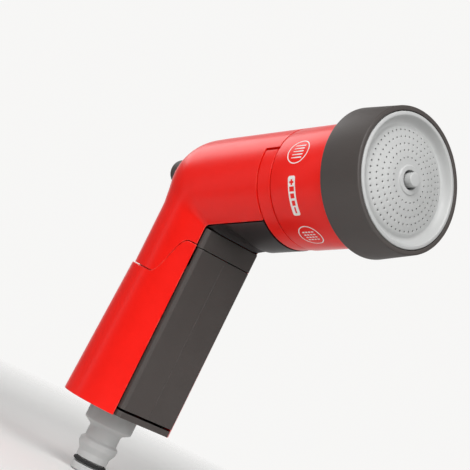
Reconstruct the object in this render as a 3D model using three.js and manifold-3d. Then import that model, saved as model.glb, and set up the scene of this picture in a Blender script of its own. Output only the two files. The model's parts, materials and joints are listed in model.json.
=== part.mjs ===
// Hand-held watering wand: pistol grip with a squeeze trigger, inclined barrel and turning spray head.
// Millimetres. +Z up along the grip, +X towards the spray side, XZ is the plane of symmetry.
// The origin is the centre of the hose inlet's end face.
import * as THREE from 'three';
import { mergeVertices } from 'three/addons/utils/BufferGeometryUtils.js';
import Module from 'manifold-3d';

const wasm = await Module();
wasm.setup();

// ---------------------------------------------------------------- driving dimensions
const GAP = 0.3; // play between neighbouring pieces
const WALL = 2; // moulded shell wall
const FINE = 40; // sides of the large round shells
const SMALL = 20; // sides of the small turned pieces

const PITCH = THREE.MathUtils.degToRad(18); // barrel above the horizontal
const ELBOW = new THREE.Vector3(3, 0, 127); // grip axis meets barrel axis
const ELBOW_R = 24; // the elbow's round back
const ELBOW_T = 1; // centre of the round back, along the barrel
const BARREL_R = 24.1;
const NECK_R = 21.9;
const NECK_TOP_R = 23.5; // the neck widens into the elbow
const NECK_FLARE_Z = 114; // where it starts to widen

const MOUTH = 15; // half-width of the slot that runs down the grip's front and the barrel's underside
const FACE_X = 21.6; // front face of the fixed block above the trigger
const TRIGGER_X = 21.9; // front face of the trigger
const EDGE_CUT = 1.1; // chamfer on the front edges of block and trigger
const SLOT_GAP = 0.55; // shadow gap between the slot's sides and the fixed dark covers
const PART_Z = 102.8; // joint between block and trigger
const GRIP_BOTTOM = 28;
const GRIP_TOP = 102; // the straight neck starts here
const CAP_TOP = 30.8; // the bottom cap fills the shell up to here
const TRIGGER_FOOT = CAP_TOP + 1;
const GRIP_LEAN = 2 / 74; // the grip's axis runs back as it goes down
const HEEL_R = 23.4; // grip radius at its bottom
const GRIP_PROUD = 0.3; // the rear grip shell stands this much outside the neck

const BAND_T = 43.3; // along the barrel from the elbow: rear edge of the band
const COLLAR_T = 50.9; // rear edge of the turning collar
const BEZEL_T = 81.8; // rear edge of the bezel
const FRONT_T = 100.2; // front edge of the bezel
const BEZEL_REAR_R = 28.95;
const BEZEL_FRONT_R = 28;
const FACE_R = 25.9; // outer radius of the spray face
const NOTCH_H = 8.4; // height of the hood's lower edge above the barrel axis
const HOOD_GAP = 1; // shadow gap between that edge and the band
const BAND_R = 23.8; // the band sits back from the barrel's surface
const BAND_GAP = 0.6; // shadow gap between the band and the turning collar

const PIVOT = new THREE.Vector3(14, 0, 99.5); // trigger pin
const PIN_R = 1.5;
const STEM_Z = 82; // height of the valve stem
const BUTTON_Z = 129.5; // height of the thumb button
const BUTTON_HALF = 11; // its half-width
const BUTTON_TALL = 11;
const BUTTON_X = -27.6; // its outer face

// ---------------------------------------------------------------- materials
const finish = (color, roughness, metalness = 0) => () =>
  new THREE.MeshStandardMaterial({ color, roughness, metalness });
const red = finish(0xe3141b, 0.25);
const charcoal = finish(0x4b4644, 0.5);
const satinBlack = finish(0x2a2625, 0.38);
const paleGrey = finish(0xb9bcbd, 0.45);
const innerPlastic = finish(0x2c2d2f, 0.55);
const rubber = finish(0x141414, 0.8);
const steel = finish(0xb8babd, 0.3, 1);
const acetal = finish(0xe6e4dc, 0.4);

// ---------------------------------------------------------------- solids
// Turns a closed geometry into a manifold solid: shared corners, no slivers, faces out.
function solid(geometry, matrix) {
  const bare = geometry.clone();
  if (matrix) bare.applyMatrix4(matrix);
  bare.deleteAttribute('normal');
  bare.deleteAttribute('uv');
  const merged = mergeVertices(bare, 1e-4);
  const p = merged.attributes.position.array;
  const index = merged.index.array;
  const tris = [];
  let volume = 0;
  for (let i = 0; i < index.length; i += 3) {
    const [a, b, c] = [index[i], index[i + 1], index[i + 2]];
    if (a === b || b === c || c === a) continue;
    tris.push(a, b, c);
    const [u, v, w] = [a, b, c].map((k) => new THREE.Vector3(p[3 * k], p[3 * k + 1], p[3 * k + 2]));
    volume += u.dot(v.cross(w));
  }
  if (volume < 0) tris.reverse();
  const mesh = new wasm.Mesh({
    numProp: 3,
    vertProperties: new Float32Array(p),
    triVerts: new Uint32Array(tris),
  });
  return new wasm.Manifold(mesh);
}

function geometryOf(manifold) {
  const mesh = manifold.getMesh();
  const geometry = new THREE.BufferGeometry();
  geometry.setAttribute('position', new THREE.BufferAttribute(mesh.vertProperties, 3));
  geometry.setIndex(new THREE.BufferAttribute(mesh.triVerts, 1));
  geometry.computeVertexNormals();
  return geometry;
}

function piece(name, shape, material) {
  const mesh = new THREE.Mesh(geometryOf(shape), material());
  mesh.name = name;
  return mesh;
}

// A turned solid about +Z from [radius, height] pairs.
function turned(profile, sides = SMALL) {
  const points = profile.map(([r, h]) => new THREE.Vector2(r, h));
  return new THREE.LatheGeometry(points, sides).rotateX(Math.PI / 2);
}

// A turned ring: the profile closes on itself away from the axis.
const ring = (profile, sides) => turned([...profile, profile[0]], sides);

// A flat outline of [x, z] pairs, as thick as the given width across Y.
function acrossY(outline, width) {
  const shape = new THREE.Shape(outline.map(([x, z]) => new THREE.Vector2(x, z)));
  return new THREE.ExtrudeGeometry(shape, { depth: width, bevelEnabled: false })
    .rotateX(Math.PI / 2)
    .translate(0, width / 2, 0);
}

// An outline of [x, y] pairs raised from z0 to z1.
function upright(outline, z0, z1) {
  const shape = new THREE.Shape(outline.map(([x, y]) => new THREE.Vector2(x, y)));
  return new THREE.ExtrudeGeometry(shape, { depth: z1 - z0, bevelEnabled: false }).translate(0, 0, z0);
}

function box(x0, x1, y0, y1, z0, z1) {
  return new THREE.BoxGeometry(x1 - x0, y1 - y0, z1 - z0)
    .translate((x0 + x1) / 2, (y0 + y1) / 2, (z0 + z1) / 2);
}

const rod = (r, z0, z1, sides = SMALL) => turned([[0, z0], [r, z0], [r, z1], [0, z1]], sides);
const alongX = (geometry, z = 0) => geometry.rotateY(Math.PI / 2).translate(0, 0, z);
const alongY = (geometry, x, z) => geometry.rotateX(-Math.PI / 2).translate(x, 0, z);

const arc = (cx, cz, r, from, to, steps) =>
  Array.from({ length: steps + 1 }, (_, i) => {
    const a = THREE.MathUtils.degToRad(from + ((to - from) * i) / steps);
    return [cx + r * Math.cos(a), cz + r * Math.sin(a)];
  });

// A coil spring along +Z: round wire swept up a helix.
function coil(radius, wire, z0, z1, turns, sides = 5, steps = 9) {
  class Helix extends THREE.Curve {
    getPoint(t) {
      const a = 2 * Math.PI * turns * t;
      return new THREE.Vector3(radius * Math.cos(a), radius * Math.sin(a), z0 + (z1 - z0) * t);
    }
  }
  const section = new THREE.Shape(
    arc(0, 0, wire, 0, 360 - 360 / sides, sides - 1).map(([x, y]) => new THREE.Vector2(x, y)),
  );
  const settings = { steps: Math.round(turns * steps), extrudePath: new Helix() };
  return new THREE.ExtrudeGeometry(section, settings);
}

// ---------------------------------------------------------------- shared frames
// In the barrel's frame +Z runs along the barrel from the elbow and +X points to its underside.
const barrel = new THREE.Group();
barrel.position.copy(ELBOW);
barrel.rotation.y = Math.PI / 2 - PITCH;
barrel.updateMatrix();
const toBarrel = barrel.matrix;

// The grip is a round cone whose axis leans, so its slot stays straight.
const lean = new THREE.Matrix4().set(
  1, 0, GRIP_LEAN, ELBOW.x - GRIP_LEAN * GRIP_TOP,
  0, 1, 0, 0,
  0, 0, 1, 0,
  0, 0, 0, 1,
);

// ---------------------------------------------------------------- red shells
function barrelBody(inset, length) {
  const rear = arc(0, ELBOW_T, ELBOW_R - inset, -90, 0, 12);
  const full = BARREL_R - inset;
  return solid(turned([...rear, [full, ELBOW_T + 2], [full, length], [0, length]], FINE), toBarrel);
}

function neckBody(inset, bottom) {
  const r = NECK_R - inset;
  const crown = arc(0, ELBOW.z, NECK_TOP_R - inset, 0, 90, 8);
  crown[crown.length - 1][0] = 0;
  const profile = [[0, bottom], [r, bottom], [r, NECK_FLARE_Z], ...crown];
  return solid(turned(profile, FINE).translate(ELBOW.x, 0, 0));
}

function gripBody(inset, bottom, top) {
  const at = (z) => NECK_R + GRIP_PROUD - inset
    + ((HEEL_R - NECK_R) * (GRIP_TOP - z)) / (GRIP_TOP - GRIP_BOTTOM);
  return solid(turned([[0, bottom], [at(bottom), bottom], [at(top), top], [0, top]], FINE), lean);
}

// Everything below the wavy joint between neck and rear grip shell; lift moves the joint outwards,
// square to its line.
function belowJoint(lift) {
  const back = [-30, 87.2];
  const dip = [7, 86.3];
  const crest = [17, 103.7];
  const wave = new THREE.CubicBezierCurve(
    new THREE.Vector2(...dip),
    new THREE.Vector2(dip[0] + 5.6, dip[1] - 0.4),
    new THREE.Vector2(crest[0] - 4.8, crest[1] + 0.6),
    new THREE.Vector2(...crest),
  );
  const steps = 10;
  const line = Array.from({ length: steps + 1 }, (_, i) => {
    const p = wave.getPoint(i / steps);
    const along = wave.getTangent(i / steps);
    return [p.x - along.y * lift, p.y + along.x * lift];
  });
  const outline = [[-30, 0], [30, 0], [30, crest[1] + lift], ...line.reverse()];
  return solid(acrossY([...outline, [back[0], back[1] + lift]], 60));
}

// The slot down the front of the grip and along the underside of the barrel.
function slot(halfWidth) {
  const end = new THREE.Vector3(0, 0, BAND_T + 20).applyMatrix4(toBarrel);
  const low = new THREE.Vector3(40, 0, BAND_T + 20).applyMatrix4(toBarrel);
  const outline = [[ELBOW.x, 0], [60, 0], [low.x, low.z], [end.x, end.z], [ELBOW.x, ELBOW.z]];
  return solid(acrossY(outline, 2 * halfWidth));
}

function buttonBar(halfWidth, halfHeight, x0, x1) {
  const flat = halfWidth - halfHeight;
  const outline = [
    ...arc(flat, 0, halfHeight, -90, 90, 8),
    ...arc(-flat, 0, halfHeight, 90, 270, 8),
  ];
  const shape = new THREE.Shape(outline.map(([y, z]) => new THREE.Vector2(y, z)));
  return solid(new THREE.ExtrudeGeometry(shape, { depth: x1 - x0, bevelEnabled: false })
    .rotateX(Math.PI / 2).rotateZ(Math.PI / 2).translate(x0, 0, BUTTON_Z));
}

// A thin tongue inside the neck runs down past the wavy joint, behind the rear grip shell's edge.
function jointTongue() {
  const inside = NECK_R - WALL;
  const [above, below] = [2.2, -1.3];
  const core = (r) => solid(rod(r, 78, 112, FINE).translate(ELBOW.x, 0, 0));
  const root = core(inside + 0.1).subtract(belowJoint(GAP / 2));
  return core(inside - GAP).add(root).subtract(core(inside - GAP - 0.7))
    .intersect(belowJoint(above)).subtract(belowJoint(below));
}

function headShell() {
  const outer = barrelBody(0, COLLAR_T - GAP).add(neckBody(0, 80));
  const inner = barrelBody(WALL, COLLAR_T + 5).add(neckBody(WALL, 75));
  const belowHood = solid(box(-NOTCH_H, 40, -40, 40, BAND_T, 70), toBarrel);
  return outer.subtract(inner)
    .subtract(slot(MOUTH))
    .subtract(belowHood)
    .subtract(belowJoint(GAP / 2))
    .add(jointTongue().subtract(slot(MOUTH)))
    .subtract(buttonBar(BUTTON_HALF + GAP, BUTTON_TALL / 2 + GAP, -40, -10));
}

function rearGripShell() {
  const outer = gripBody(0, GRIP_BOTTOM, PART_Z + 3);
  const inner = gripBody(WALL + GRIP_PROUD, GRIP_BOTTOM - 5, PART_Z + 6);
  const bosses = [-1, 1].map((side) => solid(rod(3.6, 31.2, 44, 16).translate(...bossAt(side))));
  const holes = [-1, 1].map((side) => solid(rod(1.6, 20, 41, 12).translate(...bossAt(side))));
  let shell = outer.subtract(inner);
  for (const boss of bosses) shell = shell.add(boss.intersect(outer));
  for (const hole of holes) shell = shell.subtract(hole);
  return shell.subtract(slot(MOUTH)).intersect(belowJoint(-GAP / 2));
}

const bossAt = (side) => [-11.6, 13 * side, 0];

function barrelBand() {
  const [rear, front, bore] = [BAND_T + GAP, COLLAR_T - BAND_GAP, BAND_R - 2.8];
  const hoop = ring([[bore, rear], [BAND_R, rear], [BAND_R, front], [bore, front]], FINE);
  return solid(hoop).subtract(solid(box(-40, HOOD_GAP - NOTCH_H, -40, 40, 30, 70)));
}

// ---------------------------------------------------------------- dark covers
const COVER_HALF = MOUTH - SLOT_GAP;
const TRIGGER_HALF = COVER_HALF - 0.25;
const SCOOP = { x: 29.5, z: 103.3, r: 11.3 }; // round relief for the index finger
const BLOCK_TOP = 111.2;

const scoop = (grow) => solid(alongY(rod(SCOOP.r + grow, -30, 30, 48), SCOOP.x, SCOOP.z));

// The cover under the barrel: it carries on the barrel's roundness and holds the finger relief.
function undersideCover() {
  const core = (r, back, floor) => solid(rod(r, 0, 60, FINE), toBarrel)
    .intersect(solid(box(back, 80, -COVER_HALF, COVER_HALF, floor, 140)));
  const low = solid(box(17.2, 40, -40, 40, 0, BAND_T - GAP), toBarrel);
  const hollow = core(BARREL_R - 2.2, FACE_X, 0).subtract(scoop(2));
  return core(BARREL_R - 0.1, FACE_X - 2.4, BLOCK_TOP + GAP)
    .intersect(low).subtract(scoop(0)).subtract(hollow);
}

const chamfered = (x0, x1, half) => [
  [x0, -half], [x1 - EDGE_CUT, -half], [x1, EDGE_CUT - half],
  [x1, half - EDGE_CUT], [x1 - EDGE_CUT, half], [x0, half],
];

// The fixed block above the trigger, with the ears that hold the trigger's pin.
function frontBlock() {
  const z0 = PART_Z + GAP / 2;
  const face = solid(upright(chamfered(FACE_X - 2.6, FACE_X, COVER_HALF), z0, BLOCK_TOP));
  const ear = (side) => {
    const plate = acrossY([
      [PIVOT.x - 3.4, PIVOT.z - 3.4], [PIVOT.x + 2.2, PIVOT.z - 3.4], [PIVOT.x + 4, z0 + 0.4],
      [FACE_X - 2, z0 + 0.4], [FACE_X - 2, 108], [PIVOT.x - 3.4, PIVOT.z + 5],
    ], 1.8);
    return solid(plate.translate(0, side * 11, 0));
  };
  const bore = solid(alongY(rod(PIN_R + GAP, -20, 20, 16), PIVOT.x, PIVOT.z));
  return face.add(ear(-1)).add(ear(1)).subtract(bore);
}

function triggerLever() {
  const top = PART_Z - GAP / 2;
  const foot = TRIGGER_FOOT;
  const skin = TRIGGER_X - 2.6; // back of the front wall
  const side = TRIGGER_HALF - 1.9; // inside of the side walls
  const outer = solid(upright(chamfered(9, TRIGGER_X, TRIGGER_HALF), foot, top));
  const hollow = solid(box(0, skin, -side, side, foot + 2.2, top + 5));
  const earRoom = solid(box(0, skin, -40, 40, PIVOT.z - 5, top + 5));
  const inletRoom = solid(box(0, 16, -side, side, foot - 5, foot + 5));
  const lug = (hand) => solid(acrossY([
    [PIVOT.x - 3, PIVOT.z - 3], [TRIGGER_X - 1, PIVOT.z - 6.5],
    [TRIGGER_X - 1, top - 0.6], [PIVOT.x + 4, top - 0.6], [PIVOT.x - 3, PIVOT.z + 2],
  ], 2.2).translate(0, hand * 8.2, 0));
  const boss = solid(alongX(rod(3, 14.2, TRIGGER_X - 1, 16), STEM_Z));
  const bore = solid(alongY(rod(PIN_R + GAP + 0.1, -20, 20, 16), PIVOT.x, PIVOT.z));
  return outer.subtract(hollow).subtract(earRoom).subtract(inletRoom)
    .add(lug(-1)).add(lug(1)).add(boss).subtract(bore);
}

function bottomCap() {
  const z0 = GRIP_BOTTOM + GAP;
  const disc = solid(rod(20.7, z0, CAP_TOP, FINE).translate(1.1, 0, 0));
  const tongue = solid(upright(chamfered(10, FACE_X, TRIGGER_HALF), z0, CAP_TOP));
  const bore = solid(rod(9 + GAP, 0, 40));
  let cap = disc.add(tongue).subtract(bore);
  for (const side of [-1, 1]) {
    cap = cap.subtract(solid(rod(1.6, 20, 40, 12).translate(...bossAt(side))));
    cap = cap.subtract(solid(rod(2.9, 20, 29, 16).translate(...bossAt(side))));
  }
  return cap;
}

function capScrew(side) {
  const head = rod(2.6, 27.2, 28.7, 16).translate(...bossAt(side));
  const shank = rod(1.3, 28.6, 39, 12).translate(...bossAt(side));
  const cross = [[0.35, 1.6], [1.6, 0.35]].map(([a, b]) =>
    solid(box(-a, a, -b, b, 26, 28).translate(...bossAt(side))));
  return solid(head).add(solid(shank)).subtract(cross[0]).subtract(cross[1]);
}

// ---------------------------------------------------------------- inlet and waterway
const inletNipple = () => solid(ring([
  [5, 0], [6.2, 0], [6.8, 0.6], [6.8, 3.2], [5.7, 3.2], [5.7, 5.8], [6.8, 5.8], [6.8, 8.6],
  [8.3, 11.4], [8.3, 13.6], [7, 14.6], [7, 19.4], [10.4, 21.4], [10.4, GRIP_BOTTOM - GAP],
  [9, GRIP_BOTTOM - GAP], [9, 30.6], [6.8, 31.4], [6.8, 36], [5, 36],
], 24));

const oRing = (r, wire, z) => solid(ring(arc(r, z, wire, 0, 300, 5), 24));

function inletStrainer() {
  let disc = solid(rod(4.7, 0, 1, 24));
  for (let i = 0; i < 6; i += 1) {
    const a = (i * Math.PI) / 3;
    disc = disc.subtract(solid(rod(0.9, -1, 3, 8).translate(3.1 * Math.cos(a), 3.1 * Math.sin(a), 0)));
  }
  return disc;
}

const inletTube = () => solid(ring([[4.8, 36.3], [6.6, 36.3], [6.6, 72.7], [4.8, 72.7]]));

const VALVE_FRONT = 7.7;
const VALVE_BACK = -12;
const SEAT_X = 0.5;
const OUTLET_X = 1.5; // axis of the outlet stub

function valveBody() {
  const chamber = solid(alongX(rod(8.5, VALVE_BACK, VALVE_FRONT), STEM_Z));
  const inlet = solid(rod(6.6, 73, STEM_Z, SMALL));
  const outlet = solid(rod(6, STEM_Z, 94, SMALL).translate(OUTLET_X, 0, 0));
  const rearBore = solid(alongX(rod(6, VALVE_BACK - 1, SEAT_X), STEM_Z));
  const frontBore = solid(alongX(rod(3, SEAT_X - 1, 4.2, 16), STEM_Z));
  const stemHole = solid(alongX(rod(1.5 + GAP, 4, 9, 12), STEM_Z));
  const inPort = solid(rod(2.6, 70, STEM_Z, 12).translate(-3.4, 0, 0));
  const outPort = solid(rod(1.6, STEM_Z, 96, 12).translate(2.4, 0, 0));
  const outCounter = solid(rod(4.2, 89.6, 96, 16).translate(OUTLET_X, 0, 0));
  return chamber.add(inlet).add(outlet)
    .subtract(rearBore).subtract(frontBore).subtract(stemHole)
    .subtract(inPort).subtract(outPort).subtract(outCounter);
}

const valveCap = () => solid(alongX(turned([
  [0, -13.9], [8.3, -13.9], [8.3, VALVE_BACK - GAP], [5.6, VALVE_BACK - GAP], [5.6, -11.4], [0, -11.4],
]), STEM_Z));

const valveStem = () => solid(alongX(turned([
  [0, -3.4], [2, -3.4], [2, -2.3], [4.4, -2.3], [4.4, -1.3], [1.5, -1.3], [1.5, 13], [1, 13.8], [0, 13.8],
], 16), STEM_Z));

const valveSeal = () => solid(alongX(ring([[1.9, -1], [4.6, -1], [4.6, 0.1], [1.9, 0.1]], 20), STEM_Z));
const stemGland = () => solid(alongX(ring([
  [1.5 + GAP, VALVE_FRONT + GAP], [4.6, VALVE_FRONT + GAP], [4.6, 9], [3, 9.7], [1.5 + GAP, 9.7],
], 16), STEM_Z));
const valveSpring = () => solid(alongX(coil(3.4, 0.4, -8.4, -3.2, 4), STEM_Z));

// The tube from the valve up the neck, round the elbow and into the head's spindle.
function outletTube() {
  const p = (t) => new THREE.Vector3(0, 0, t).applyMatrix4(toBarrel);
  const path = new THREE.CurvePath();
  const low = new THREE.Vector3(OUTLET_X, 0, 94.3);
  const bendStart = new THREE.Vector3(OUTLET_X, 0, 111);
  const bendMid = new THREE.Vector3(OUTLET_X, 0, p(-1.6).z);
  path.add(new THREE.LineCurve3(low, bendStart));
  path.add(new THREE.QuadraticBezierCurve3(bendStart, bendMid, p(17)));
  path.add(new THREE.LineCurve3(p(17), p(42)));
  const outline = (r) => arc(0, 0, r, 0, 330, 11).map(([x, y]) => new THREE.Vector2(x, y));
  const section = new THREE.Shape(outline(6));
  section.holes.push(new THREE.Path(outline(4.4)));
  const sweep = (shape) => solid(new THREE.ExtrudeGeometry(shape, { steps: 18, extrudePath: path }));
  const pad = solid(box(-6.4, 4, -4, 4, BUTTON_Z - 4, BUTTON_Z + 2));
  return sweep(section).add(pad.subtract(sweep(new THREE.Shape(outline(5)))));
}

// ---------------------------------------------------------------- thumb button
function lockButton() {
  const cap = buttonBar(BUTTON_HALF, BUTTON_TALL / 2, BUTTON_X, -12.8);
  const flange = buttonBar(BUTTON_HALF + 0.9, BUTTON_TALL / 2 + 0.9, -13.6, -12.6);
  const dome = solid(new THREE.SphereGeometry(20, 36, 24).scale(1, 1, 0.7)
    .translate(BUTTON_X + 20, 0, BUTTON_Z));
  return cap.intersect(dome).add(flange);
}

const lockSpring = () => solid(alongX(coil(3.2, 0.4, -12.1, -9.6, 3), BUTTON_Z));

// ---------------------------------------------------------------- turning head (barrel frame)
const SPINDLE_R = 11;
const JET_R = 2.8;
const JET_TIP = FRONT_T + 3.1;
const CLIP_T = 74; // retaining ring

const headSpindle = () => solid(ring([
  [6.4, 36.5], [8.4, 36.5], [8.4, BAND_T + 0.7], [20.7, BAND_T + 0.7], [20.7, 47], [SPINDLE_R, 47],
  [SPINDLE_R, 66.6], [9.6, 66.6], [9.6, 69.2], [SPINDLE_R, 69.2], [SPINDLE_R, CLIP_T - 0.2],
  [9.2, CLIP_T - 0.2], [9.2, CLIP_T + 1.6], [SPINDLE_R, CLIP_T + 1.6], [SPINDLE_R, 78], [6.4, 78],
], 24));

function retainingRing() {
  const hoop = solid(ring([[9.5, CLIP_T], [13, CLIP_T], [13, CLIP_T + 1.4], [9.5, CLIP_T + 1.4]], 28));
  return hoop.subtract(solid(box(0, 20, -2.4, 2.4, CLIP_T - 3, CLIP_T + 4)));
}

const selectorCollar = () => solid(ring([
  [22, COLLAR_T], [BARREL_R - 0.2, COLLAR_T], [BARREL_R, COLLAR_T + 0.3],
  [BARREL_R, BEZEL_T - 2.2], [BARREL_R - 0.5, BEZEL_T - 1], [BARREL_R - 0.5, 84.4], [22, 84.4],
], FINE));

const bezelRing = () => solid(ring([
  [24.1, BEZEL_T], [BEZEL_REAR_R - 0.8, BEZEL_T], [BEZEL_REAR_R, BEZEL_T + 0.8],
  [BEZEL_FRONT_R + 0.1, FRONT_T - 0.5], [BEZEL_FRONT_R - 0.4, FRONT_T], [FACE_R + 0.5, FRONT_T],
  [FACE_R + GAP, FRONT_T - 0.3], [FACE_R + GAP, 84.4], [24.1, 84.4],
], FINE));

const headCore = () => solid(ring([
  [SPINDLE_R + GAP, 54], [13.4, 54], [13.4, 70], [16, 72], [16, 84.7], [FACE_R, 84.7], [FACE_R, 92.6],
  [23.6, 92.6], [23.6, 87.4], [13.8, 87.4], [13.8, CLIP_T - 0.4], [SPINDLE_R + GAP, CLIP_T - 0.4],
], 32));

function distributorPlate() {
  let plate = solid(ring([[4, 90], [20.5, 90], [21, 90.5], [21, 91.6], [4, 91.6]], 28));
  for (let i = 0; i < 8; i += 1) {
    const a = (i * Math.PI) / 4;
    plate = plate.subtract(solid(rod(1.8, 80, 100, 6).translate(14 * Math.cos(a), 14 * Math.sin(a), 0)));
  }
  return plate;
}

const roseGasket = () => solid(ring([[23.4, 92.9], [25.6, 92.9], [25.6, 94.4], [23.4, 94.4]], 32));

const rosePlate = () => solid(ring([
  [22.6, 94.8], [FACE_R, 94.8], [FACE_R, FRONT_T], [FACE_R - 0.3, FRONT_T + 0.3],
  [24.5, FRONT_T + 0.3], [24.1, 99.9], [22.9, 97.3], [22, 96.9], [21.2, 97], [20.5, 97.7],
  [16.5, 98.8], [11.3, 99.9], [8.5, 100.2], [5.8, 100.2], [5.5, 100.8], [3.8, 100.8],
  [3.8, 97.6], [12, 97], [20, 95.2],
], FINE));

const jetPin = () => solid(turned([
  [0, 86.4], [5, 86.4], [5, 87.8], [JET_R, 88.4],
  [JET_R, JET_TIP - 0.5], [JET_R - 0.5, JET_TIP], [0, JET_TIP],
], 20));

// ---------------------------------------------------------------- the whole wand
const wand = new THREE.Group();
wand.add(
  piece('head_shell', headShell(), red),
  piece('rear_grip_shell', rearGripShell(), red),
  piece('underside_cover', undersideCover(), satinBlack),
  piece('front_block', frontBlock(), charcoal),
  piece('trigger_lever', triggerLever(), charcoal),
  piece('trigger_pivot_pin', solid(alongY(rod(PIN_R, -12.6, 12.6, 16), PIVOT.x, PIVOT.z)), steel),
  piece('trigger_spring', solid(alongY(coil(2.9, 0.45, -5.4, 5.4, 8), PIVOT.x, PIVOT.z)), steel),
  piece('bottom_cap', bottomCap(), charcoal),
  piece('cap_screw_left', capScrew(-1), steel),
  piece('cap_screw_right', capScrew(1), steel),
  piece('inlet_nipple', inletNipple(), paleGrey),
  piece('inlet_o_ring', oRing(6.5, 0.75, 4.5), rubber),
  piece('inlet_strainer', inletStrainer(), acetal),
  piece('inlet_tube', inletTube(), acetal),
  piece('valve_body', valveBody(), innerPlastic),
  piece('valve_cap', valveCap(), innerPlastic),
  piece('stem_gland', stemGland(), rubber),
  piece('valve_stem', valveStem(), steel),
  piece('valve_seal', valveSeal(), rubber),
  piece('valve_spring', valveSpring(), steel),
  piece('outlet_tube', outletTube(), acetal),
  piece('lock_button', lockButton(), charcoal),
  piece('lock_spring', lockSpring(), steel),
);
barrel.add(
  piece('barrel_band', barrelBand(), red),
  piece('head_spindle', headSpindle(), innerPlastic),
  piece('spindle_o_ring', oRing(10.45, 0.7, 67.9), rubber),
  piece('head_retaining_ring', retainingRing(), steel),
  piece('selector_collar', selectorCollar(), red),
  piece('bezel_ring', bezelRing(), charcoal),
  piece('head_core', headCore(), innerPlastic),
  piece('distributor_plate', distributorPlate(), acetal),
  piece('rose_gasket', roseGasket(), rubber),
  piece('rose_plate', rosePlate(), paleGrey),
  piece('jet_pin', jetPin(), paleGrey),
);
wand.add(barrel);

export default wand;
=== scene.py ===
# %% [markdown]
# # A watering wand, piece by piece
# The wand is a pistol-grip sprayer: a red shell with a round barrel, a charcoal trigger that fills the
# front of the grip, and a turning head with a pale rose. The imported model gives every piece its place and
# its body. This lesson gives the pieces that can be seen finer meshes and real finishes around it.

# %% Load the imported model
import json
import math

import bmesh
import bpy
import numpy as np
from mathutils import Matrix, Vector


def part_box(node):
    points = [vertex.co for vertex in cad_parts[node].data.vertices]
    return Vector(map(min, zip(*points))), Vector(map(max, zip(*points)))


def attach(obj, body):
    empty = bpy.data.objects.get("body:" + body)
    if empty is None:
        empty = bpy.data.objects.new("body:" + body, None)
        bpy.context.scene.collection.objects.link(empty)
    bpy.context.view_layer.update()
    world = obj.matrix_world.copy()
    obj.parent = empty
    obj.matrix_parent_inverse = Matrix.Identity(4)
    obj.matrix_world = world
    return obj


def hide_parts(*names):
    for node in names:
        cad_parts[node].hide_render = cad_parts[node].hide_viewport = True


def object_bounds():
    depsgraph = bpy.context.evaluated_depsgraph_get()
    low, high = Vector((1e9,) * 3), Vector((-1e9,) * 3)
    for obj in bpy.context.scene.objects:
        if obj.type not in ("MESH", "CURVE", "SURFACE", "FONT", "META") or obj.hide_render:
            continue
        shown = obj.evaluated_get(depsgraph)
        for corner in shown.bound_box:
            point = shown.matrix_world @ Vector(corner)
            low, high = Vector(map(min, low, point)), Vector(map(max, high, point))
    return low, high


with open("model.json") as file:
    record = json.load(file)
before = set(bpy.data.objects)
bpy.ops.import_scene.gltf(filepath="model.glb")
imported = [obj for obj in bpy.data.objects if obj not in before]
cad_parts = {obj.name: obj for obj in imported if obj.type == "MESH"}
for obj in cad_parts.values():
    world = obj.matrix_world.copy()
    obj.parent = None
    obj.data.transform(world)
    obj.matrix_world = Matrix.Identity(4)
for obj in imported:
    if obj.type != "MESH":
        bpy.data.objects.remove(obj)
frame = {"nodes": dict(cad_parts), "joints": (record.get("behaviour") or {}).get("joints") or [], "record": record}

MM = 0.001
CAD_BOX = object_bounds()
JOINTS = {j["name"]: j for j in frame["joints"]}

# %% [markdown]
# ## Camera
# The wand is looked at from the front right, a little from below, with the camera rolled so that the
# grip leans. A long lens from about 0.7 m keeps the round face a true ellipse. The matrix is built from
# three unit vectors, because a rolled camera is easier to state that way than as three angles.

# %% Camera
LENS = 132.1  # mm on a 36 mm sensor
EYE = Vector((0.56696, -0.43362, 0.07807))
RIGHT = Vector((0.57457, 0.68855, 0.44246))
UPWARD = Vector((-0.23873, -0.37610, 0.89530))
BACKWARD = Vector((0.78286, -0.62004, -0.05172))

camera = bpy.data.objects.new("camera", bpy.data.cameras.new("camera"))
camera.data.lens = LENS
camera.data.sensor_width = 36
camera.data.clip_start, camera.data.clip_end = 0.05, 20
camera.matrix_world = Matrix.Translation(EYE) @ Matrix((RIGHT, UPWARD, BACKWARD)).transposed().to_4x4()
bpy.context.scene.collection.objects.link(camera)
bpy.context.scene.camera = camera
bpy.context.scene.view_settings.view_transform = "Standard"  # keeps the shell's strong red
print("camera", round(EYE.length, 3), "m from the inlet")

# %% [markdown]
# ## Shader groups
# Every finish on the wand shares three effects: a slow drift of shade, as pigment and light dust give, a
# fine surface texture from the mould, and edges that are rubbed paler. Each is built once as a node group
# with named sockets, so a material only states its own amounts. A group puts out values that vary over
# the surface, and the Principled shader stays in the material.

# %% Node helpers
def new_group(name, inputs, outputs):
    group = bpy.data.node_groups.new(name, "ShaderNodeTree")
    for label, kind, value in inputs:
        socket = group.interface.new_socket(label, in_out="INPUT", socket_type=kind)
        socket.default_value = value
    for label, kind in outputs:
        group.interface.new_socket(label, in_out="OUTPUT", socket_type=kind)
    return group


def add(tree, kind, **settings):
    """A node with its properties and inputs set; a tuple (node, socket) as an input makes a link."""
    node = tree.nodes.new(kind)
    inputs = settings.pop("inputs", {})
    for key, value in settings.items():
        setattr(node, key, value)
    for key, value in inputs.items():
        if isinstance(value, tuple) and isinstance(value[0], bpy.types.Node):
            tree.links.new(value[0].outputs[value[1]], node.inputs[key])
        else:
            node.inputs[key].default_value = value
    return node


def maths(tree, operation, a, b=0.5, c=0.5, clamp=False):
    return add(tree, "ShaderNodeMath", operation=operation, use_clamp=clamp, inputs={0: a, 1: b, 2: c})


def remap(tree, value, low, high, to_low=0.0, to_high=1.0):
    return add(tree, "ShaderNodeMapRange", inputs={
        "Value": value, "From Min": low, "From Max": high, "To Min": to_low, "To Max": to_high})


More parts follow.
